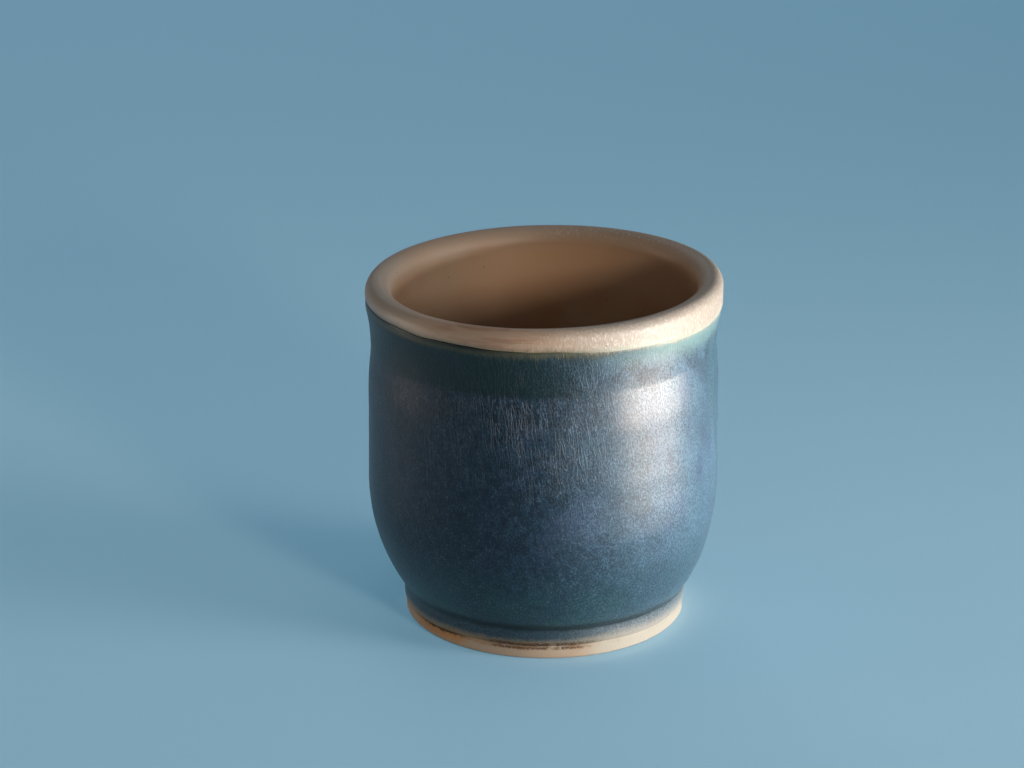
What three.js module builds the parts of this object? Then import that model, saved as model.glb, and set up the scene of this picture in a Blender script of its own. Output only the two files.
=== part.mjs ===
// A wheel-thrown stoneware teacup without a handle, in millimetres, +Z up.
// The origin is the centre of the foot, on the surface that the cup stands on.
// One fired clay body carries two glaze coats: a tan liner that runs over the lip,
// and a blue outside coat that stops short of the foot's bare edge.
import * as THREE from 'three';

// Facets round the wheel's axis
const wheelSteps = 48;

// Foot: a low upright collar, trimmed hollow underneath
const footRadius = 33.5;
const footHeight = 7.75;
const footEdgeRound = 0.9;
const footRingWidth = 5.4;
const footRecessDepth = 3.0;
const footRecessRound = 1.8;

// Outside of the clay wall, from the crease above the foot to the neck under the lip
const creaseFlare = THREE.MathUtils.degToRad(36.5); // from upright
const creaseHandle = 11.0;
const bellyRadius = 41.3;
const bellyHeight = 33.8;
const bellyHandle = 5.0;
const shoulderInset = 0.3; // in from the belly
const shoulderDrop = 27.5; // below the crest of the lip
const neckInset = 0.75; // in from the shoulder
const neckDrop = 15.6; // below the crest of the lip
const neckHandle = 3.9;

// Lip: a rolled rim with an upright face, rounded over to the crest and down into the mouth
const cupHeight = 83.0; // crest of the clay lip
const lipOverhang = 1.35; // out from the neck
const lipFaceDrop = 5.4; // bottom of the upright face, below the crest
const lipRoundHeight = 2.2;
const lipUnderHandle = 5.0;
const lipCrestInset = 1.9; // crest, in from the face
const lipThickness = 5.2; // from the face in to the mouth
const mouthRoundDepth = 3.0;

// Inside of the clay wall
const wallThickness = 3.9;
const floorThickness = 5.2;
const floorFlatRadius = 12.0;
const floorRoundHandle = 18.0;

// Glaze coats on the clay
const outerGlazeThickness = 0.4;
const linerGlazeThickness = 0.4;
const footGlazeHeight = 3.4; // edge of the outside coat, above the bare clay
const footGlazeFeather = 1.2; // length over which that edge thickens
const glazeMeetingDrop = 4.4; // where the two coats meet on the lip's face, below the crest

// Points on each curve of an outline
const curveSteps = 7;
const lipSteps = 4;
const roundSteps = 3;

const shoulderRadius = bellyRadius - shoulderInset;
const neckRadius = shoulderRadius - neckInset;
const lipRadius = neckRadius + lipOverhang;
const crestRadius = lipRadius - lipCrestInset;
const mouthRadius = lipRadius - lipThickness;
const neckHeight = cupHeight - neckDrop;
const shoulderHeight = cupHeight - shoulderDrop;
const lipFaceBottom = cupHeight - lipFaceDrop;
const glazeMeetingHeight = cupHeight - glazeMeetingDrop;
const footRecessRadius = footRadius - footRingWidth;
const floorHeight = footRecessDepth + floorThickness;

// An outline is drawn with x as the radius and y as the height.
// It runs along the clay with the open air on its right-hand side.
function outlinePoints(pieces) {
  const points = [];
  for (const [curve, steps] of pieces) {
    for (const point of curve.getPoints(steps)) {
      const last = points[points.length - 1];
      if (!last || last.distanceTo(point) > 1e-6) points.push(point);
    }
  }
  return points;
}

function line(x1, y1, x2, y2, steps = 1) {
  return [new THREE.LineCurve(new THREE.Vector2(x1, y1), new THREE.Vector2(x2, y2)), steps];
}

function bend(steps, ...xy) {
  const corners = [];
  for (let i = 0; i < xy.length; i += 2) corners.push(new THREE.Vector2(xy[i], xy[i + 1]));
  return [new THREE.CubicBezierCurve(...corners), steps];
}

// A quarter of an ellipse about x, y, from the angle given; turn is 1 or -1, the way it runs
function quarter(steps, x, y, xRadius, yRadius, startAngle, turn) {
  const endAngle = startAngle + turn * Math.PI / 2;
  return [new THREE.EllipseCurve(x, y, xRadius, yRadius, startAngle, endAngle, turn < 0), steps];
}

// The underside, from the axis to the foot's outer edge
function undersideOutline() {
  const insideEdge = footRecessRadius + footEdgeRound;
  const outsideEdge = footRadius - footEdgeRound;
  const recessCorner = footRecessRadius - footRecessRound;
  return outlinePoints([
    line(0, footRecessDepth, recessCorner, footRecessDepth),
    quarter(roundSteps, recessCorner, footRecessDepth - footRecessRound,
      footRecessRound, footRecessRound, Math.PI / 2, -1),
    line(footRecessRadius, footRecessDepth - footRecessRound, footRecessRadius, footEdgeRound),
    quarter(roundSteps, insideEdge, footEdgeRound, footEdgeRound, footEdgeRound, Math.PI, 1),
    line(insideEdge, 0, outsideEdge, 0),
    quarter(roundSteps, outsideEdge, footEdgeRound, footEdgeRound, footEdgeRound, -Math.PI / 2, 1),
    line(footRadius, footEdgeRound, footRadius, footGlazeHeight),
  ]);
}

// The outside that the blue coat covers, from the foot to the lip's face
function outsideOutline() {
  const featherTop = footGlazeHeight + footGlazeFeather;
  return outlinePoints([
    line(footRadius, footGlazeHeight, footRadius, featherTop, roundSteps),
    line(footRadius, featherTop, footRadius, footHeight),
    bend(curveSteps, footRadius, footHeight,
      footRadius + creaseHandle * Math.sin(creaseFlare), footHeight + creaseHandle * Math.cos(creaseFlare),
      bellyRadius, bellyHeight - bellyHandle, bellyRadius, bellyHeight),
    bend(roundSteps, bellyRadius, bellyHeight, bellyRadius, bellyHeight + bellyHandle,
      shoulderRadius, shoulderHeight - bellyHandle, shoulderRadius, shoulderHeight),
    bend(lipSteps, shoulderRadius, shoulderHeight, shoulderRadius, shoulderHeight + bellyHandle,
      neckRadius, neckHeight - neckHandle, neckRadius, neckHeight),
    bend(lipSteps, neckRadius, neckHeight, neckRadius, neckHeight + lipUnderHandle,
      neckRadius + (lipRadius - neckRadius) / 2, lipFaceBottom - lipUnderHandle / 2, lipRadius, lipFaceBottom),
    line(lipRadius, lipFaceBottom, lipRadius, glazeMeetingHeight),
  ]);
}

// The lip and the inside that the tan liner covers, down to the axis on the floor
function insideOutline() {
  const roundBottom = cupHeight - lipRoundHeight;
  const mouthHeight = cupHeight - mouthRoundDepth;
  const neckInside = neckRadius - wallThickness;
  const bellyInside = bellyRadius - wallThickness;
  const floorHandle = (bellyHeight - floorHeight) / 4;
  return outlinePoints([
    line(lipRadius, glazeMeetingHeight, lipRadius, roundBottom),
    quarter(lipSteps, crestRadius, roundBottom, lipCrestInset, lipRoundHeight, 0, 1),
    quarter(lipSteps, crestRadius, mouthHeight, crestRadius - mouthRadius, mouthRoundDepth, Math.PI / 2, 1),
    line(mouthRadius, mouthHeight, neckInside, neckHeight),
    bend(lipSteps, neckInside, neckHeight, neckInside, neckHeight - neckHandle,
      bellyInside, bellyHeight + bellyHandle, bellyInside, bellyHeight),
    bend(curveSteps, bellyInside, bellyHeight, bellyInside, floorHeight + floorHandle,
      floorFlatRadius + floorRoundHandle, floorHeight, floorFlatRadius, floorHeight),
    line(floorFlatRadius, floorHeight, 0, floorHeight),
  ]);
}

// The outline moved off the clay by a coat's thickness. Over the feather length
// at its start the coat thickens from nothing.
function coatOutline(points, thickness, feather) {
  const along = (from, to) => to.clone().sub(from).normalize();
  let travelled = 0;
  return points.map((point, i) => {
    if (i > 0) travelled += point.distanceTo(points[i - 1]);
    const before = i > 0 ? along(points[i - 1], point) : along(point, points[1]);
    const after = i < points.length - 1 ? along(point, points[i + 1]) : before;
    const middle = before.clone().add(after).normalize();
    const reach = thickness / middle.dot(before);
    const grown = feather > 0 ? Math.sin(Math.min(1, travelled / feather) * Math.PI / 2) : 1;
    return new THREE.Vector2(middle.y, -middle.x).multiplyScalar(reach * grown).add(point);
  });
}

// Turns an outline on the wheel. LatheGeometry turns about Y, and the cup stands along Z.
function turned(name, outline, material) {
  const geometry = new THREE.LatheGeometry(outline, wheelSteps);
  geometry.rotateX(Math.PI / 2);
  const mesh = new THREE.Mesh(geometry, material);
  mesh.name = name;
  return mesh;
}

const bareClay = new THREE.MeshStandardMaterial({ color: 0xc3a68c, roughness: 0.9, metalness: 0 });
const tanGlaze = new THREE.MeshStandardMaterial({ color: 0x94795f, roughness: 0.42, metalness: 0 });
const blueGlaze = new THREE.MeshStandardMaterial({ color: 0x3a4f66, roughness: 0.48, metalness: 0 });

const underside = undersideOutline();
const outside = outsideOutline();
const inside = insideOutline();
const outerSurface = coatOutline(outside, outerGlazeThickness, footGlazeFeather);
const linerSurface = coatOutline(inside, linerGlazeThickness, 0);

const teacup = new THREE.Group();
teacup.name = 'teacup';
teacup.add(
  turned('clay_body', [...underside, ...outside.slice(1), ...inside.slice(1)], bareClay),
  turned('outer_glaze', [...outerSurface, ...outside.toReversed()], blueGlaze),
  turned('liner_glaze', [...inside.toReversed(), ...linerSurface], tanGlaze),
);

export default teacup;
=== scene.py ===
# A thrown stoneware teacup: one clay body under two coats of glaze.
# Shapes are worked out in millimetres and brought to metres at the end.
import bpy
import bmesh
import math
from bisect import bisect
from mathutils import Matrix, Vector, noise
from mathutils.geometry import interpolate_bezier


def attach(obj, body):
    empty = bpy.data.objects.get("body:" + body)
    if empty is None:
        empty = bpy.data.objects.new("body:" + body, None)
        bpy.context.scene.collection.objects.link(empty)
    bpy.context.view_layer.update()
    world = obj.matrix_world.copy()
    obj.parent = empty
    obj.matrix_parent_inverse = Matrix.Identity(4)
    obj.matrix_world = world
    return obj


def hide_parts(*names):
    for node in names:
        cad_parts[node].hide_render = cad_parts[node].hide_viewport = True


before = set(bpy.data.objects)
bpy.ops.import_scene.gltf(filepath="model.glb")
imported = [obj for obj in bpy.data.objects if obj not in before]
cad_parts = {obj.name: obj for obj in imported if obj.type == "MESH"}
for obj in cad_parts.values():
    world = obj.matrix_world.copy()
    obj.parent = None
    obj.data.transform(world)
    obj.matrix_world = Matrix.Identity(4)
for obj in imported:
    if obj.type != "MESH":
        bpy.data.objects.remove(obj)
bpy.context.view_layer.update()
print("frame loaded:", ", ".join(sorted(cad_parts)))


def smooth(value, low, high):
    share = min(max((value - low) / (high - low), 0.0), 1.0)
    return share * share * (3 - 2 * share)


def paint(code):
    # linear colour from six hex digits
    channels = [int(code[i:i + 2], 16) / 255 for i in (0, 2, 4)]
    return tuple(c / 12.92 if c <= 0.04045 else ((c + 0.055) / 1.055) ** 2.4 for c in channels) + (1.0,)


def paints(codes):
    return {name: paint(code) for name, code in codes.items()}


# outlines, with x as the radius and y as the height

class Outline:
    # a run of points that is read by the distance along it
    def __init__(self, points):
        self.points = [points[0]]
        self.distances = [0.0]
        for point in points[1:]:
            gap = (point - self.points[-1]).length
            if gap > 1e-6:
                self.points.append(point)
                self.distances.append(self.distances[-1] + gap)
        self.length = self.distances[-1]

    def at(self, distance):
        i = min(max(bisect(self.distances, distance), 1), len(self.points) - 1)
        start, end = self.distances[i - 1], self.distances[i]
        return self.points[i - 1].lerp(self.points[i], (distance - start) / (end - start))

    def facing(self, distance, reach=0.6):
        # the way to the open air, averaged over a short reach
        run = self.at(min(distance + reach, self.length)) - self.at(max(distance - reach, 0.0))
        return Vector((run.y, -run.x)).normalized()

    def distanceTo(self, height):
        # where the outline first gets to a height
        for i, point in enumerate(self.points):
            if point.y >= height:
                return self.distances[i]


def straight(*ends):
    return [Vector(end) for end in ends]


def bend(steps, *corners):
    # one curve, from its first end over two handles to its last end
    first, handleOne, handleTwo, last = (Vector((*corner, 0)) for corner in corners)
    return [p.xy for p in interpolate_bezier(first, handleOne, handleTwo, last, steps + 1)]


def quarter(steps, middle, reach, start, way):
    # a quarter of an ellipse, from an angle in degrees; way is 1 or -1
    angles = [math.radians(start + way * 90 * i / steps) for i in range(steps + 1)]
    return [Vector((middle[0] + reach[0] * math.cos(a), middle[1] + reach[1] * math.sin(a))) for a in angles]


# turning and placing the pieces

wheel = {
    "steps": 40,
    "cuts": 7,  # each step of the turn is cut again, which is quicker than more steps
    "faceGap": 0.2,  # keeps a coat's two faces from merging while it is turned
}


def isRing(edge):
    # True for an edge that runs round the axis
    one, other = (vert.co for vert in edge.verts)
    return abs(one.z - other.z) < 1e-5 and abs(one.xy.length - other.xy.length) < 1e-5


def turned(rows, tagNames, closed):
    # turns rows of (radius, height, values for the first tags) about the upright axis
    bm = bmesh.new()
    tags = [bm.verts.layers.float.new(name) for name in tagNames]
    corners = []
    for radius, height, *values in rows:
        corner = bm.verts.new((radius, 0, height))
        for tag, value in zip(tags, values):
            corner[tag] = value
        if corners:
            bm.edges.new((corners[-1], corner))
        corners.append(corner)
    if closed:
        bm.edges.new((corners[-1], corners[0]))
    bmesh.ops.spin(bm, geom=bm.verts[:] + bm.edges[:], cent=(0, 0, 0), axis=(0, 0, 1),
                   angle=2 * math.pi, steps=wheel["steps"], use_merge=True)
    rings = [edge for edge in bm.edges if isRing(edge)]
    bmesh.ops.subdivide_edges(bm, edges=rings, cuts=wheel["cuts"], use_grid_fill=True)
    bmesh.ops.remove_doubles(bm, verts=bm.verts[:], dist=1e-4)
    return bm, tags


def evenly(start, end, gap, edges=(), least=0.04):
    # distances from start to end, with a few close to the ends where edges are fine
    count = max(1, round(abs(end - start) / gap))
    way = 1 if end > start else -1
    run = [start + (end - start) * i / count for i in range(count + 1)]
    run += [start + way * edge for edge in edges] + [end - way * edge for edge in edges]
    run = sorted(set(round(value, 4) for value in run), reverse=way < 0)
    keep = [run[0]]
    for value in run[1:]:
        if abs(value - keep[-1]) > least:
            keep.append(value)
    return keep


def finished(bm, name, node, finish):
    bmesh.ops.recalc_face_normals(bm, faces=bm.faces[:])
    bm.transform(Matrix.Scale(0.001, 4))
    for face in bm.faces:
        face.smooth = True
    mesh = bpy.data.meshes.new(name)
    bm.to_mesh(mesh)
    bm.free()
    mesh.materials.append(finish)
    piece = bpy.data.objects.new(name, mesh)
    bpy.context.scene.collection.objects.link(piece)
    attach(piece, "root")
    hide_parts(node)
    print("made", name, "with", len(mesh.polygons), "faces")


# finishes

class Link:
    # an output of a node, so that sums can be written on it
    def __init__(self, finish, socket):
        self.finish = finish
        self.socket = socket

    def sum(self, operation, *values):
        return self.finish.node("Math", {"operation": operation}, dict(enumerate(values)))

    def __add__(self, other):
        return self.sum("ADD", self, other)

    def __radd__(self, other):
        return self.sum("ADD", other, self)

    def __sub__(self, other):
        return self.sum("SUBTRACT", self, other)

    def __rsub__(self, other):
        return self.sum("SUBTRACT", other, self)

    def __mul__(self, other):
        return self.sum("MULTIPLY", self, other)

    def __rmul__(self, other):
        return self.sum("MULTIPLY", other, self)

    def __truediv__(self, other):
        return self.sum("DIVIDE", self, other)

    def __abs__(self):
        return self.sum("ABSOLUTE", self)

    def most(self, other):
        return self.sum("MAXIMUM", self, other)


class Finish:
    def __init__(self, name, **constants):
        self.material = bpy.data.materials.new(name)
        self.material.use_nodes = True
        self.tree = self.material.node_tree
        self.shader = self.tree.nodes["Principled BSDF"]
        for socketName, value in constants.items():
            self.shader.inputs[socketName.replace("_", " ")].default_value = value

    def node(self, kind, settings=None, inputs=None, output=0):
        made = self.tree.nodes.new("ShaderNode" + kind)
        for key, value in (settings or {}).items():
            setattr(made, key, value)
        for key, value in (inputs or {}).items():
            if isinstance(value, Link):
                self.tree.links.new(value.socket, made.inputs[key])
            else:
                made.inputs[key].default_value = value
        return Link(self, made.outputs[output])

    def mix(self, share, first, second):
        return self.node("Mix", {"data_type": "RGBA"}, {0: share, 6: first, 7: second}, output=2)

    def set(self, socketName, value):
        self.tree.links.new(value.socket, self.shader.inputs[socketName])


class CupFinish(Finish):
    # a finish that goes by the place on the cup, in millimetres
    def __init__(self, name, **constants):
        super().__init__(name, **constants)
        self.spot = self.vector("SCALE", self.node("TexCoord", output="Object"), scale=1000)
        parts = [self.node("SeparateXYZ", inputs={0: self.spot}, output=i) for i in range(3)]
        self.x, self.y, self.z = parts
        flat = self.scaled(self.spot, 1, 0)
        self.radius = self.node("VectorMath", {"operation": "LENGTH"}, {0: flat}, output="Value").most(1.0)
        self.side = self.x / self.radius  # -1 at the left, 1 at the right

    def vector(self, operation, first, second=None, scale=None):
        inputs = {0: first}
        if second is not None:
            inputs[1] = second
        if scale is not None:
            inputs["Scale"] = scale
        return self.node("VectorMath", {"operation": operation}, inputs)

    def scaled(self, spot, level, upright):
        # less than 1 draws a pattern out that way
        return self.vector("MULTIPLY", spot, (level, level, upright))

    def noise(self, spot, scale, detail=2.0, roughness=0.5, output="Fac"):
        inputs = {"Vector": spot, "Scale": scale, "Detail": detail, "Roughness": roughness}
        return self.node("TexNoise", inputs=inputs, output=output)

    def drift(self, reach, *pattern):
        # a noise that goes up to half the reach to both sides of 0
        return (self.noise(*pattern) - 0.5) * reach

    def scattered(self, scale, outside, inside):
        # small round dots, far apart
        cells = self.node("TexVoronoi", inputs={"Vector": self.spot, "Scale": scale}, output="Distance")
        return self.between(cells, outside, inside)

    def between(self, value, low, high):
        # 0 up to low and 1 from high, smooth in between; the other way round if low is above high
        settings = {"interpolation_type": "SMOOTHSTEP"}
        return self.node("MapRange", settings, {"Value": value, "From Min": low, "From Max": high})

    def tag(self, name):
        # a measure in millimetres kept on the mesh
        return self.node("Attribute", {"attribute_name": name}, output="Fac")

    def relief(self, height, depth):
        # depth is in millimetres for a height of 1
        bumped = self.node("Bump", inputs={"Height": height, "Distance": depth / 1000})
        self.set("Normal", bumped)


# the clay body

clay = {
    "footRadius": 33.5,
    "footHeight": 7.75,
    "footEdgeRound": 0.9,
    "footRingWidth": 5.4,
    "footRecessDepth": 3.0,
    "footRecessRound": 1.8,
    "creaseFlare": 36.5,  # degrees from upright
    "creaseHandle": 11.0,
    "bellyRadius": 41.3,
    "bellyHeight": 33.8,
    "bellyHandle": 5.0,
    "shoulderRadius": 41.0,
    "shoulderHeight": 55.5,
    "neckRadius": 40.25,
    "neckHeight": 67.4,
    "neckHandle": 3.9,
    "neckPinch": 0.26,  # makes the waist a crease instead of a soft hollow
    "lipFaceBottom": 77.6,
    "lipRadius": 41.6,
    "lipUnderHandle": 5.0,
    "lipRoundHeight": 2.2,
    "cupHeight": 83.0,
    "crestRadius": 39.7,
    "mouthRadius": 36.4,
    "mouthRoundDepth": 3.0,
    "wallThickness": 3.9,
    "floorHeight": 8.2,
    "floorFlatRadius": 12.0,
    "floorRoundHandle": 18.0,
    "rowGap": 1.1,
    "specular": 0.4,
    "roughness": 0.72,
    "reliefDepth": 0.05,
    "colours": {
        "body": "c0a993",
        "pale": "c4bdae",
        "flash": "c98a4b",
        "speck": "86705e",
        "gold": "a88456",
        "rust": "53351b",
    },
}

# what the hands and the kiln left uneven in clay and coats
hand = {
    "rimLean": 1.08,  # degrees, higher towards +X
    "leanHeights": (14.0, 70.0),
    "footShift": 0.5,
    "footShiftHeights": (7.0, 26.0),
    "lipShift": 0.13,
    "lipShiftHeights": (66, 80),
    "waver": 0.1,
    "waverSize": 26.0,
    "meetingHeight": 1.0,  # where the two coats meet, above the bottom of the lip's face
    # how much lower than level they meet, by the angle round from +X
    "meetingDrops": ((0, 1.9), (60, 0.8), (110, -0.2), (160, -0.7), (209, -1.0), (232, -0.7),
                     (271, -0.1), (295, 0.9), (324, 2.2), (335, 2.4), (360, 1.9)),
    "meetingWaver": 0.22,
    "meetingWaves": 5.0,
    "slideReach": 13.0,
    "grooveSide": 205,  # degrees round, where the groove between the coats is deepest
    "grooveLeast": 0.08,
    "grooveMore": 0.5,
    "footEdge": 2.5,  # the blue coat's lower edge, above the foot's rounded edge
    "footEdgeWaver": 0.22,
    "footEdgeWaves": 3.0,
    "footEdgeReach": 4.0,
}


def undersideOutline():
    # from the axis to the outer edge of the foot
    c = clay
    rim = c["footEdgeRound"]
    depth, corner = c["footRecessDepth"], c["footRecessRound"]
    recess = c["footRadius"] - c["footRingWidth"]
    return Outline(
        straight(*((recess * share, depth) for share in (0, 0.3, 0.6)))
        + quarter(6, (recess - corner, depth - corner), (corner, corner), 90, -1)
        + quarter(6, (recess + rim, rim), (rim, rim), 180, 1)
        + quarter(8, (c["footRadius"] - rim, rim), (rim, rim), -90, 1))


def skinOutline():
    # from the outer edge of the foot up over the lip and down to the middle of the floor
    c = clay
    foot, belly, shoulder, neck, lip = (
        c[name] for name in ("footRadius", "bellyRadius", "shoulderRadius", "neckRadius", "lipRadius"))
    flare = math.radians(c["creaseFlare"])
    flareEnd = (foot + c["creaseHandle"] * math.sin(flare),
                c["footHeight"] + c["creaseHandle"] * math.cos(flare))
    neckHeight, faceBottom = c["neckHeight"], c["lipFaceBottom"]
    roundBottom = c["cupHeight"] - c["lipRoundHeight"]
    mouthHeight = c["cupHeight"] - c["mouthRoundDepth"]
    neckInside, bellyInside = neck - c["wallThickness"], belly - c["wallThickness"]
    floorHandle = (c["bellyHeight"] - c["floorHeight"]) / 4
    return Outline(
        straight((foot, c["footEdgeRound"]), (foot, c["footHeight"]))
        + bend(60, (foot, c["footHeight"]), flareEnd,
               (belly, c["bellyHeight"] - c["bellyHandle"]), (belly, c["bellyHeight"]))
        + bend(40, (belly, c["bellyHeight"]), (belly, c["bellyHeight"] + c["bellyHandle"]),
               (shoulder, c["shoulderHeight"] - c["bellyHandle"]), (shoulder, c["shoulderHeight"]))
        + bend(30, (shoulder, c["shoulderHeight"]), (shoulder, c["shoulderHeight"] + c["bellyHandle"]),
               (neck + c["neckPinch"], neckHeight - c["neckHandle"]), (neck, neckHeight))
        + bend(30, (neck, neckHeight), (neck + c["neckPinch"], neckHeight + c["lipUnderHandle"]),
               ((neck + lip) / 2, faceBottom - c["lipUnderHandle"] / 2), (lip, faceBottom))
        + quarter(16, (c["crestRadius"], roundBottom), (lip - c["crestRadius"], c["lipRoundHeight"]), 0, 1)
        + quarter(20, (c["crestRadius"], mouthHeight),
                  (c["crestRadius"] - c["mouthRadius"], c["mouthRoundDepth"]), 90, 1)
        + bend(30, (neckInside, neckHeight), (neckInside, neckHeight - c["neckHandle"]),
               (bellyInside, c["bellyHeight"] + c["bellyHandle"]), (bellyInside, c["bellyHeight"]))
        + bend(60, (bellyInside, c["bellyHeight"]), (bellyInside, c["floorHeight"] + floorHandle),
               (c["floorFlatRadius"] + c["floorRoundHandle"], c["floorHeight"]),
               (c["floorFlatRadius"], c["floorHeight"]))
        + straight((0, c["floorHeight"])))


skin = skinOutline()
meetingDistance = skin.distanceTo(clay["lipFaceBottom"]) + hand["meetingHeight"]
crestDistance = skin.distanceTo(clay["cupHeight"] - 0.001)


def handmade(point):
    x, y, z = point
    lean = math.tan(math.radians(hand["rimLean"])) * smooth(z, *hand["leanHeights"])
    shift = hand["footShift"] * (1 - smooth(z, *hand["footShiftHeights"]))
    shift += hand["lipShift"] * smooth(z, *hand["lipShiftHeights"])
    grow = 1 + hand["waver"] / clay["bellyRadius"] * noise.noise(Vector(point) / hand["waverSize"])
    return Vector((x * grow + shift, y * grow, z + lean * x))


def around(turn, waves, seed):
    # an even wander round the cup, from -1 to 1
    return noise.noise(Vector((math.cos(turn) * waves, math.sin(turn) * waves, seed)))


def footEdge(turn):
    return hand["footEdge"] + hand["footEdgeWaver"] * around(turn, hand["footEdgeWaves"], seed=9.0)


def edgeFray(f):
    # how the colours run in and out at the foot; the same for coat and clay
    return f.noise(f.spot, 1.1, 3, 0.6) - 0.5


def rustShare(f, aboveFoot):
    # the rusty line where the blue coat stops, doubled in places
    fray = edgeFray(f) * 1.3
    upper = f.between(abs(aboveFoot + fray - 0.45), 0.85, 0.2)
    lower = f.between(abs(aboveFoot + fray * 0.7 + 0.55), 0.6, 0.1)
    front = f.between(f.y, 0, -10)
    middle = f.between(abs(f.side + 0.04), 0.5, 0.25) * front
    broken = f.between(f.noise(f.spot, 0.22, 3, 0.6) + 0.2 * middle, 0.45, 0.68)
    strength = (0.55 + 0.45 * middle) * (1 - 0.75 * front * (1 - middle))
    return upper.most(lower * 0.85) * broken * strength * f.between(f.noise(f.spot, 2.2, 2), 0.24, 0.48)


def goldShare(f, aboveFoot):
    # the golden stain on both sides of the rusty line
    stain = f.between(abs(aboveFoot + f.drift(2.0, f.spot, 0.7, 3)), 1.5, 0.3)
    return stain * f.between(f.noise(f.spot, 0.25, 2) - 0.2 * f.side, 0.46, 0.6)


def clayFinish():
    c = paints(clay["colours"])
    f = CupFinish("bareClayFinish", Specular_IOR_Level=clay["specular"])
    aboveFoot = f.tag("aboveFoot")
    clouds = f.noise(f.spot, 0.1, 3)
    grit = f.noise(f.spot, 3.2, 3, 0.65)
    # paler and greyer towards the right, where the lamps fall: painted light, wandered by the clouds
    tone = f.mix(f.between(f.side + (clouds - 0.5), 0.1, 0.6), c["body"], c["pale"])
    frayed = aboveFoot + edgeFray(f) * 1.6
    flash = f.between(abs(f.side + 0.72), 0.24, 0.08) * f.between(f.y, 0, -10)
    flash = flash * f.between(frayed, -3.2, -1.2)
    tone = f.mix(flash * 0.85, tone, c["flash"])
    tone = f.mix(f.between(grit, 0.6, 0.75) * 0.4, tone, c["speck"])
    tone = f.mix(goldShare(f, aboveFoot) * 0.6, tone, c["gold"])
    rust = rustShare(f, aboveFoot).most(flash * f.between(frayed, -0.9, -0.3))
    f.set("Base Color", f.mix(rust, tone, c["rust"]))
    f.set("Roughness", clay["roughness"] + 0.2 * (grit - 0.5))
    f.relief(grit + clouds, clay["reliefDepth"])
    return f.material


rows = [(point.x, point.y, point.x) for point in undersideOutline().points]
for distance in evenly(0, skin.length, clay["rowGap"])[1:]:
    point = skin.at(distance)
    rows.append((point.x, point.y, point.x))
bm, (ownRadius, aboveFoot) = turned(rows, ("ownRadius", "aboveFoot"), closed=False)
for vert in bm.verts:
    turn = math.atan2(vert.co.y, vert.co.x)
    vert[aboveFoot] = vert.co.z - clay["footEdgeRound"] - footEdge(turn)
    if vert.co.xy.length > 1:
        rounder = vert[ownRadius] / vert.co.xy.length  # the cuts lie on chords
        vert.co = (vert.co.x * rounder, vert.co.y * rounder, vert.co.z)
    vert.co = handmade(vert.co)
finished(bm, "clayBody", "clay_body", clayFinish())


# what both coats share

def meetingDrop(turn):
    angle = math.degrees(turn) % 360
    knots = hand["meetingDrops"]
    for (fromAngle, fromDrop), (toAngle, toDrop) in zip(knots, knots[1:]):
        if angle <= toAngle:
            drop = fromDrop + (toDrop - fromDrop) * smooth(angle, fromAngle, toAngle)
            return drop + hand["meetingWaver"] * around(turn, hand["meetingWaves"], seed=3.0)


def slid(distance, turn):
    # moves what lies near the meeting of the coats along with it
    share = smooth(1 - abs(distance - meetingDistance) / hand["slideReach"], 0, 1)
    return distance - share * meetingDrop(turn)


def onSide(turn, degrees, low, high):
    # 1 on the side of the cup that lies there, and 0 away from it
    return smooth(math.cos(turn - math.radians(degrees)), low, high)


def meetingGroove(turn):
    # the coats meet in a groove at the left and run into each other at the right
    return hand["grooveLeast"] + hand["grooveMore"] * onSide(turn, hand["grooveSide"], -0.1, 0.8)


def onSkin(distance, lift, turn):
    radius, height = skin.at(distance) + skin.facing(distance) * lift
    return handmade((radius * math.cos(turn), radius * math.sin(turn), height))


def roundedEnd(gap, reach, depth):
    # how much of a coat's thickness is left a gap away from its rounded end
    share = min(max(gap / reach, 0.0), 1.0)
    return 1 - depth * (1 - math.sqrt(1 - (1 - share) ** 2))


def ringWave(height, pitch, turn):
    # throwing rings run up the wall as one long spiral
    return math.sin(2 * math.pi * (height / pitch + turn / (2 * math.pi)))


def meetingFray(f):
    # how far the two coats run into each other, in millimetres; the same for both of them
    return f.drift(4.0, f.scaled(f.spot, 1, 0.4), 1.3, 3, 0.6) * (0.25 + 0.75 * f.between(f.side, -0.6, 0.2))


# the blue coat outside

blueCoat = {
    "thickness": 0.4,
    "footFeather": 1.1,
    "footThinning": 0.95,
    "meetingRound": 0.6,
    "rowGap": 0.55,
    "backRowGap": 2.5,  # on the clay
    "endRows": (0.06, 0.15, 0.3, 0.45, 0.7, 1.0),
    "ringDepth": 0.012,
    "ringPitch": 7.0,
    "ringsFrom": (6, 14),  # above the lower edge
    "ior": 1.38,
    "roughness": 0.4,
    "coatRoughness": 0.29,
    "reliefDepth": 0.1,
    # heights over which parts of the pattern come in
    "wrinkleHeights": (38, 56),
    "calmHeights": (65.5, 68.5),
    "violetHeights": (20, 36),
    "palerHeights": (12, 40),
    "tealHeights": (42, 62),
    "lowGreenHeights": (30, 11),
    "collarHeights": (8.4, 7.4),
    # the crease above the foot, dark from pooled glaze and painted shade
    "pooledAndShadedHeight": 8.3,
    "bandHeight": 67.3,  # of the green band's lower edge
    "colours": {
        "slate": "1e3a50",
        "deepSlate": "0a1c2c",
        "paleSlate": "8298a6",
        "violet": "3f4c70",
        "skyBlue": "7099b6",
        "band": "081f20",
        "bandPale": "55777d",
        "olive": "4f503c",
        "mint": "799c9d",
        "cream": "b9a68f",
        "lowGreen": "184146",
        "crease": "0b1a19",
        "footBand": "384c58",
        "footBandPale": "76868e",
        "footPale": "8c8470",
        "footCream": "b5ada3",
        "gold": "8a6d45",
        "rust": "53351b",
        "pit": "12171c",
    },
}


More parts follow.
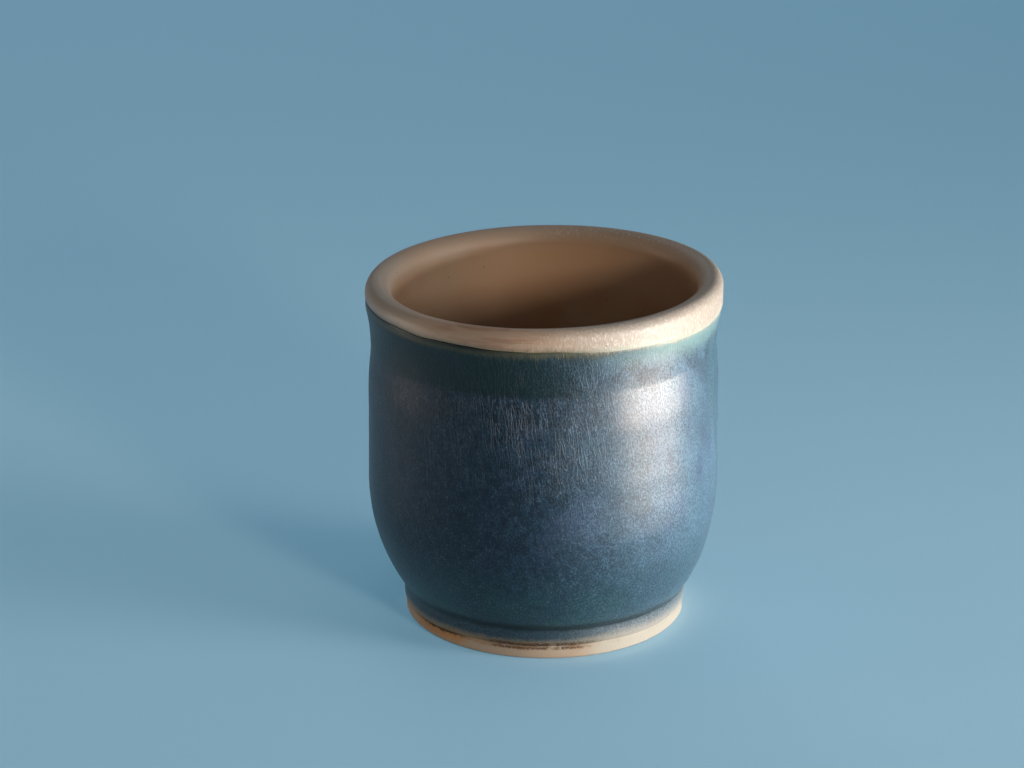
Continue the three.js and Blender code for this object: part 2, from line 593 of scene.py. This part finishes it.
def blueFinish():
    coat = blueCoat
    c = paints(coat["colours"])
    f = CupFinish("blueGlazeFinish", IOR=coat["ior"], Coat_Roughness=coat["coatRoughness"])
    z, side, spot = f.z, f.side, f.spot
    below = f.tag("belowMeeting")
    aboveFoot = f.tag("aboveFoot")

    # wrinkles: fine upright lines, leaning more towards the right
    wander = f.vector("SUBTRACT", f.noise(spot, 0.14, 2, output="Color"), (0.5, 0.5, 0.5))
    wandered = f.vector("ADD", spot, f.vector("SCALE", wander, scale=1.3))
    turnBy = (0.13 + 0.12 * side) * z / f.radius
    leaning = f.node("VectorRotate", {"rotation_type": "Z_AXIS"}, {"Vector": wandered, "Angle": turnBy})
    fibres = f.between(f.noise(f.scaled(leaning, 1, 0.26), 3.0, 3, 0.62), 0.46, 0.7)
    lines = abs(f.noise(f.scaled(leaning, 1, 0.1), 1.15, 0) - 0.5)
    wrinkles = (fibres * 0.45).most(f.between(lines, 0.04, 0.005) * 0.85)
    patches = f.noise(spot, 0.11, 2)
    upper = f.between(z + (patches - 0.5) * 24, *coat["wrinkleHeights"])
    wrinkleShare = wrinkles * (0.5 + 0.5 * f.between(patches, 0.36, 0.56)) * (0.12 + 0.88 * upper)
    calm = 0.6 * f.between(z, *coat["calmHeights"]) * f.between(side, 0.25, -0.05)
    wrinkleShare = wrinkleShare * (1 - calm)

    # grain: fine dark dots and pale flecks over soft clouds
    grain = f.noise(f.scaled(leaning, 1, 0.8), 2.4, 3, 0.66)
    litFleckShare = 0.6 + 0.4 * f.between(side, -0.15, 0.3)  # fewer pale flecks and pale wrinkle lines towards the shaded left: painted shade
    flecks = f.between(grain, 0.5, 0.7) * litFleckShare
    dots = f.between(grain, 0.5, 0.32)
    clouds = f.noise(spot, 0.5, 4, 0.62)
    tone = f.mix(f.between(clouds, 0.3, 0.7), c["deepSlate"], c["slate"])
    violet = f.between(f.noise(spot, 0.08, 2), 0.54, 0.66) * f.between(z, *coat["violetHeights"])
    tone = f.mix(violet * 0.3, tone, c["violet"])
    # darker towards the left: painted shade
    tone = f.mix(f.between(side, 0.3, -0.6) * 0.6, tone, c["deepSlate"])
    tone = f.mix(flecks * (0.18 + 0.2 * f.between(clouds, 0.4, 0.6)), tone, c["paleSlate"])
    tone = f.mix(dots * 0.45, tone, c["deepSlate"])
    # pale wrinkle lines, partly painted glints on their ridges, weaker on the shaded left
    tone = f.mix(wrinkleShare * litFleckShare * 0.24, tone, c["paleSlate"])
    # paler sky blue towards the right and higher up: painted light on the lit side, broken up by the grain
    paler = f.between(side + (patches - 0.5) * 0.5, -0.1, 1.0) * (0.28 + 0.4 * f.between(grain, 0.38, 0.62))
    tone = f.mix(paler * (0.6 + 0.4 * f.between(z, *coat["palerHeights"])), tone, c["skyBlue"])
    teal = f.between(side + (patches - 0.5) * 0.3, 0.78, 0.98) * f.between(z, *coat["tealHeights"])
    tone = f.mix(teal * 0.6, tone, c["lowGreen"])
    drips = f.between(f.noise(f.scaled(spot, 1, 0.2), 0.28, 3, 0.6), 0.5, 0.66)
    tone = f.mix(drips * f.between(side, 0.4, 0.9) * 0.5, tone, c["violet"])

    # green where the glaze lies thick: low on the wall and under the lip; under the lip it is also painted
    # shade below the overhang
    low = f.between(z, *coat["lowGreenHeights"]) * (0.45 + 0.55 * f.between(patches, 0.4, 0.6))
    # less of the dark green on the lit right: painted light
    low = low * (1 - 0.3 * f.between(side, 0.3, 0.7))
    tone = f.mix(low * 0.78, tone, f.mix(flecks * 0.35, c["lowGreen"], c["paleSlate"]))
    # the dark band under the lip is partly the glaze's own green and partly painted shade under the
    # overhang, so it fades out on the lit right
    aboveBand = z - (coat["bandHeight"] + f.drift(1.2, spot, 0.18, 2))
    band = f.between(aboveBand, -0.8, 0.8) * f.between(side + (patches - 0.5) * 0.5, 0.45, -0.15)
    tone = f.mix(band * 0.9, tone, f.mix(flecks * 0.12 + wrinkleShare * 0.14, c["band"], c["bandPale"]))
    mottle = f.between(f.noise(spot, 0.2, 3, 0.6), 0.46, 0.62)
    mottle = mottle * (0.3 + 0.7 * f.between(aboveBand, -1.0, 2.0)) * f.between(side, 0.1, 0.5)
    tone = f.mix(mottle * (0.35 + 0.35 * f.between(grain, 0.6, 0.4)), tone, c["deepSlate"])

    # where the tan coat runs into this one: pale mint at the right, partly painted light on the lit side, a
    # thin olive edge elsewhere, and a painted shadow line in the groove at the left
    frayed = below + meetingFray(f)
    tone = f.mix(f.between(side, 0.15, 0.7) * f.between(frayed, 6.5, 0.5) * 0.8, tone, c["mint"])
    tone = f.mix(f.between(frayed, 2.4, 0.4) * f.between(side, 0.6, 0.2) * 0.85, tone, c["olive"])
    tone = f.mix(f.between(frayed, 0.9, -0.6) * f.between(side, 0.1, 0.5) * 0.7, tone, c["cream"])
    # a dark line in the groove below the tan coat at the left: painted shadow
    tone = f.mix(f.between(below, 1.3, 0.3) * f.between(side, -0.1, -0.45), tone, c["crease"])

    # the collar of the foot, paler towards the right: painted light on the lit side, with a cream edge where
    # the thin glaze runs onto the clay
    right = f.between(side, 0.0, 0.65)
    collarTone = f.mix(right, c["footBand"], c["footBandPale"])
    collarTone = f.mix(f.between(grain, 0.62, 0.38) * 0.5, collarTone, c["deepSlate"])
    tone = f.mix(f.between(z, *coat["collarHeights"]), tone, collarTone)
    # a dark line in the crease above the foot: pooled glaze and painted shade
    pooledAndShaded = z - coat["pooledAndShadedHeight"] + f.drift(0.9, spot, 0.16, 3)
    tone = f.mix(f.between(abs(pooledAndShaded), 1.6, 0.3) * 0.95, tone, c["crease"])
    edge = f.between(aboveFoot + edgeFray(f) * 1.6, 2.2 + 1.2 * right, 0.3)
    tone = f.mix(edge, tone, f.mix(right, c["footPale"], c["footCream"]))
    tone = f.mix(goldShare(f, aboveFoot) * 0.7, tone, c["gold"])
    tone = f.mix(rustShare(f, aboveFoot), tone, c["rust"])

    pits = f.scattered(0.15, 0.045, 0.02)
    f.set("Base Color", f.mix(pits * 0.8, tone, c["pit"]))
    f.set("Roughness", coat["roughness"] + 0.08 * wrinkleShare + 0.1 * (clouds - 0.5))
    glassy = 0.16 + 0.88 * f.between(side, -0.3, 0.5)  # the shine is stronger towards the right
    f.set("Coat Weight", glassy * (0.68 + 0.46 * f.between(grain, 0.36, 0.62)))
    f.relief(wrinkleShare * 1.05 + grain * 0.8 + clouds * 0.4 - pits, coat["reliefDepth"])
    return f.material


# lift is 1 on a coat's open face and 0 on the clay
rows = [(*skin.at(d), d, 1) for d in evenly(hand["footEdge"], meetingDistance, blueCoat["rowGap"],
                                            blueCoat["endRows"])]
rows += [(*skin.at(d), d, 0) for d in evenly(meetingDistance, hand["footEdge"], blueCoat["backRowGap"])]
rows = [(radius + wheel["faceGap"] * lift, height, d, lift) for radius, height, d, lift in rows]
bm, (along, lift, belowMeeting, aboveFoot) = turned(
    rows, ("along", "lift", "belowMeeting", "aboveFoot"), closed=True)
for vert in bm.verts:
    turn = math.atan2(vert.co.y, vert.co.x)
    edge = footEdge(turn)
    follow = 1 - smooth(vert[along], hand["footEdge"], hand["footEdge"] + hand["footEdgeReach"])
    distance = slid(vert[along], turn)
    distance += (edge - hand["footEdge"]) * follow
    vert[belowMeeting] = slid(meetingDistance, turn) - distance
    vert[aboveFoot] = distance - edge
    thick = 0.0
    if vert[lift] > 0.5:
        thick = blueCoat["thickness"]
        thick *= roundedEnd(vert[aboveFoot], blueCoat["footFeather"], blueCoat["footThinning"])
        thick *= roundedEnd(vert[belowMeeting], blueCoat["meetingRound"], meetingGroove(turn))
        rings = smooth(vert[aboveFoot], *blueCoat["ringsFrom"])
        thick += blueCoat["ringDepth"] * ringWave(vert.co.z, blueCoat["ringPitch"], turn) * rings
    vert.co = onSkin(distance, thick, turn)
finished(bm, "blueGlaze", "outer_glaze", blueFinish())


# the tan coat over the lip and inside

tanCoat = {
    "thickness": 0.4,
    "meetingRoll": 0.12,  # it stands proud of the blue coat where they meet
    "rollEnds": (0.8, 3.0),
    "meetingRound": 0.8,
    "rowGap": 0.6,
    "backRowGap": 2.5,  # on the clay
    "endRows": (0.06, 0.15, 0.3, 0.5, 0.8, 1.1),
    "wayInside": 14.0,  # from the meeting over the lip to the inside wall
    "ringDepth": 0.03,
    "ringPitch": 7.5,
    "ringsFrom": (8, 14),  # past the crest
    "grooveSide": 215,  # degrees round
    "grooveAt": 1.6,  # past the crest, on the way into the mouth
    "grooveDepth": 0.2,
    "grooveWidth": 0.45,
    "ior": 1.65,
    "roughness": 0.48,
    "reliefDepth": 0.07,
    "colours": {
        "inside": "cbac8b",
        "insideDeep": "bf9069",
        "insideGrey": "b9a694",
        "insidePale": "d1a884",
        "lip": "bba28b",
        "lipPale": "9f9991",
        "lipRear": "a38d79",
        "lipBrown": "a67f66",
        "fleck": "e6dccf",
        "olive": "6e6a50",
        "mint": "a3b4a9",
        "speck": "4f3a2a",
    },
}


def tanFinish():
    c = paints(tanCoat["colours"])
    f = CupFinish("tanGlazeFinish", IOR=tanCoat["ior"])
    side, spot = f.side, f.spot
    above = f.tag("aboveMeeting")

    # the inside
    rings = f.noise(f.scaled(spot, 0.04, 1), 0.35, 2)
    clouds = f.noise(spot, 0.06, 2)
    tone = f.mix(f.between(rings * 0.3 + clouds * 0.7, 0.38, 0.62), c["insideDeep"], c["inside"])
    # greyer towards the left and paler at the rear left, where the inside is lit: painted light
    tone = f.mix(f.between(side + (clouds - 0.5), 0.0, -0.6) * 0.5, tone, c["insideGrey"])
    rear = f.between(f.y, 2, 26)
    tone = f.mix(rear * f.between(side, -0.7, -0.2) * f.between(above, 34, 18) * 0.85, tone, c["insidePale"])

    # the lip: browner streaks in front, greyer and grainy towards the right
    face = f.between(above, 9.0, 6.5)
    lines = f.noise(f.scaled(spot, 0.1, 1), 0.8, 3, 0.6)
    brown = f.between(abs(side + 0.3), 0.5, 0.1) * f.between(f.y, 0, -12) * face
    lipTone = f.mix(brown * (0.2 + 0.7 * f.between(lines, 0.42, 0.6)), c["lip"], c["lipBrown"])
    # greyer towards the right, partly the lip's own colour and partly painted shade against the strong lamps
    # there; at the far left edge a painted bluish-grey reflection
    greyer = f.between(side, -0.2, 0.5).most(f.between(side, -0.6, -0.95) * 0.7)
    lipTone = f.mix(greyer, lipTone, c["lipPale"])
    # darker at the rear: painted shade
    lipTone = f.mix(rear * 0.9, lipTone, c["lipRear"])
    tone = f.mix(f.between(above, 13.0, 7.0), tone, lipTone)
    streaks = f.noise(f.scaled(spot, 1, 0.45), 2.2, 3, 0.65)
    grainy = f.between(side, -0.35, 0.45) * f.between(above, 11.0, 7.0)
    # pale glints on the lit right of the lip: painted highlights mixed with the glaze's pale flecks
    glints = f.between(streaks, 0.52, 0.72) * grainy
    tone = f.mix(glints * 0.6, tone, c["fleck"])
    tone = f.mix(f.between(streaks, 0.5, 0.34) * grainy * 0.35, tone, c["lipBrown"])

    # the lower edge, where the blue coat runs into this one
    # olive towards the left, pale mint towards the lit right: partly painted light
    edgeTone = f.mix(f.between(side, 0.0, 0.55), c["olive"], c["mint"])
    edgeWidth = 1.4 + 0.8 * f.between(side, 0.1, 0.6)
    tone = f.mix(f.between(above - meetingFray(f), edgeWidth, -0.4) * 0.8, tone, edgeTone)

    f.set("Base Color", f.mix(f.scattered(0.22, 0.06, 0.03) * 0.6, tone, c["speck"]))
    f.set("Roughness", tanCoat["roughness"] - 0.16 * glints + 0.08 * (clouds - 0.5))
    f.relief(streaks * (0.6 * face + 1.1 * grainy) + rings * 0.2, tanCoat["reliefDepth"])
    return f.material


rows = [(*skin.at(d), d, 0) for d in evenly(skin.length, meetingDistance, tanCoat["backRowGap"])]
rows += [(*skin.at(d), d, 1) for d in evenly(meetingDistance, skin.length, tanCoat["rowGap"],
                                             tanCoat["endRows"])]
wallStart = meetingDistance + tanCoat["wayInside"]
rows = [(max(radius + wheel["faceGap"] * lift * (-1 if d > wallStart else 1), 0), height, d, lift)
        for radius, height, d, lift in rows]
bm, (along, lift, aboveMeeting) = turned(rows, ("along", "lift", "aboveMeeting"), closed=False)
for vert in bm.verts:
    turn = math.atan2(vert.co.y, vert.co.x)
    distance = slid(vert[along], turn)
    vert[aboveMeeting] = distance - slid(meetingDistance, turn)
    thick = 0.0
    if vert[lift] > 0.5:
        proud = tanCoat["meetingRoll"] * smooth(meetingGroove(turn), 0.1, 0.5)
        thick = tanCoat["thickness"] + proud * (1 - smooth(vert[aboveMeeting], *tanCoat["rollEnds"]))
        thick *= roundedEnd(vert[aboveMeeting], tanCoat["meetingRound"], meetingGroove(turn))
        pastCrest = distance - crestDistance
        rings = smooth(pastCrest, *tanCoat["ringsFrom"])
        thick += tanCoat["ringDepth"] * ringWave(vert.co.z, tanCoat["ringPitch"], turn) * rings
        gap = (pastCrest - tanCoat["grooveAt"]) / tanCoat["grooveWidth"]
        shown = onSide(turn, tanCoat["grooveSide"], 0.55, 0.85)
        thick -= tanCoat["grooveDepth"] * shown * math.exp(-gap * gap)
    vert.co = onSkin(distance, thick, turn)
finished(bm, "tanGlaze", "liner_glaze", tanFinish())


# floor, light and camera

studio = {
    "floorSize": 6.0,
    "floorDrop": 0.0001,  # under the foot, so that their faces don't coincide
    "floorColour": "bddaeb",
    "floorGlow": "37687f",  # what the camera and the gloss see on top of the floor's own light
    "floorRoughness": 0.9,
    "skyColour": "555a5d",
    # turn is in degrees to the right of the view; distance, height, size and aim are in metres
    "lamps": {
        "keyLamp": {"turn": 73, "distance": 1.0, "height": 0.11, "size": (0.45, 0.16),
                    "watts": 0.8, "colour": "fffcf8", "spread": 45},
        "farCard": {"turn": 69, "distance": 0.33, "height": 0.012, "size": (0.24, 0.2),
                    "watts": 2.5, "colour": "ffebd8", "aim": 4.0},
        "nearCard": {"turn": 67, "distance": 0.18, "height": 0.008, "size": (0.1, 0.1),
                     "watts": 0.16, "colour": "ffe8cf", "aim": 4.0},
        "frontLamp": {"turn": 30, "distance": 1.1, "height": 0.34, "size": (0.16, 0.16),
                      "watts": 3.5, "colour": "fff0e0"},
        "leftCard": {"turn": -93, "distance": 0.32, "height": 0.012, "size": (0.1, 0.18),
                     "watts": 0.09, "colour": "ffe0c0", "aim": 4.0},
        "leftLamp": {"turn": -97, "distance": 1.0, "height": 0.09, "size": (0.28, 0.11),
                     "watts": 0.1, "colour": "ffe9d6", "spread": 45},
        "backLamp": {"turn": 190, "distance": 1.2, "height": 0.7, "size": (0.5, 0.5),
                     "watts": 0.75, "colour": "ffffff"},
        "topLamp": {"turn": 180, "distance": 0.12, "height": 1.3, "size": (0.5, 0.5),
                    "watts": 0.7, "colour": "fff6ec"},
    },
}


def lampAt(name, turn, distance, height, size, watts, colour, spread=180, aim=0.045):
    lamp = bpy.data.lights.new(name, "AREA")
    lamp.shape = "RECTANGLE"
    lamp.size, lamp.size_y = size
    lamp.energy = watts
    lamp.spread = math.radians(spread)
    lamp.color = paint(colour)[:3]
    holder = bpy.data.objects.new(name, lamp)
    turn = math.radians(turn)
    holder.location = (math.sin(turn) * distance, -math.cos(turn) * distance, height)
    away = holder.location - Vector((0, 0, aim))
    holder.rotation_euler = away.to_track_quat("Z", "Y").to_euler()
    holder.visible_camera = False
    bpy.context.scene.collection.objects.link(holder)


def floorFinish():
    f = Finish("floorFinish", Base_Color=paint(studio["floorColour"]), Roughness=studio["floorRoughness"],
               Emission_Strength=1.0)
    seen, mirrored, through = (
        f.node("LightPath", output="Is " + kind + " Ray") for kind in ("Camera", "Glossy", "Transmission"))
    lit = seen.most(mirrored).most(through)
    f.set("Emission Color", f.mix(lit, paint("000000"), paint(studio["floorGlow"])))
    return f.material


bm = bmesh.new()
bmesh.ops.create_grid(bm, x_segments=1, y_segments=1, size=studio["floorSize"] / 2,
                      matrix=Matrix.Translation((0, 0, -studio["floorDrop"])))
floorMesh = bpy.data.meshes.new("floor")
bm.to_mesh(floorMesh)
bm.free()
floorMesh.materials.append(floorFinish())
floor = bpy.data.objects.new("floor", floorMesh)
bpy.context.scene.collection.objects.link(floor)

world = bpy.data.worlds.new("studio")
world.use_nodes = True
world.node_tree.nodes["Background"].inputs["Color"].default_value = paint(studio["skyColour"])
bpy.context.scene.world = world
for name, lamp in studio["lamps"].items():
    lampAt(name, **lamp)

view = {
    "place": (-0.007447, -0.68656, 0.30396),  # metres
    "pitch": 19.844,  # degrees down
    "lens": 108.23,
    "sensorWidth": 36.0,
}
cameraData = bpy.data.cameras.new("camera")
cameraData.lens = view["lens"]
cameraData.sensor_width = view["sensorWidth"]
camera = bpy.data.objects.new("camera", cameraData)
camera.location = view["place"]
camera.rotation_euler = (math.radians(90 - view["pitch"]), 0, 0)
bpy.context.scene.collection.objects.link(camera)
bpy.context.scene.camera = camera
bpy.context.scene.view_settings.view_transform = "Standard"
print("studio ready")
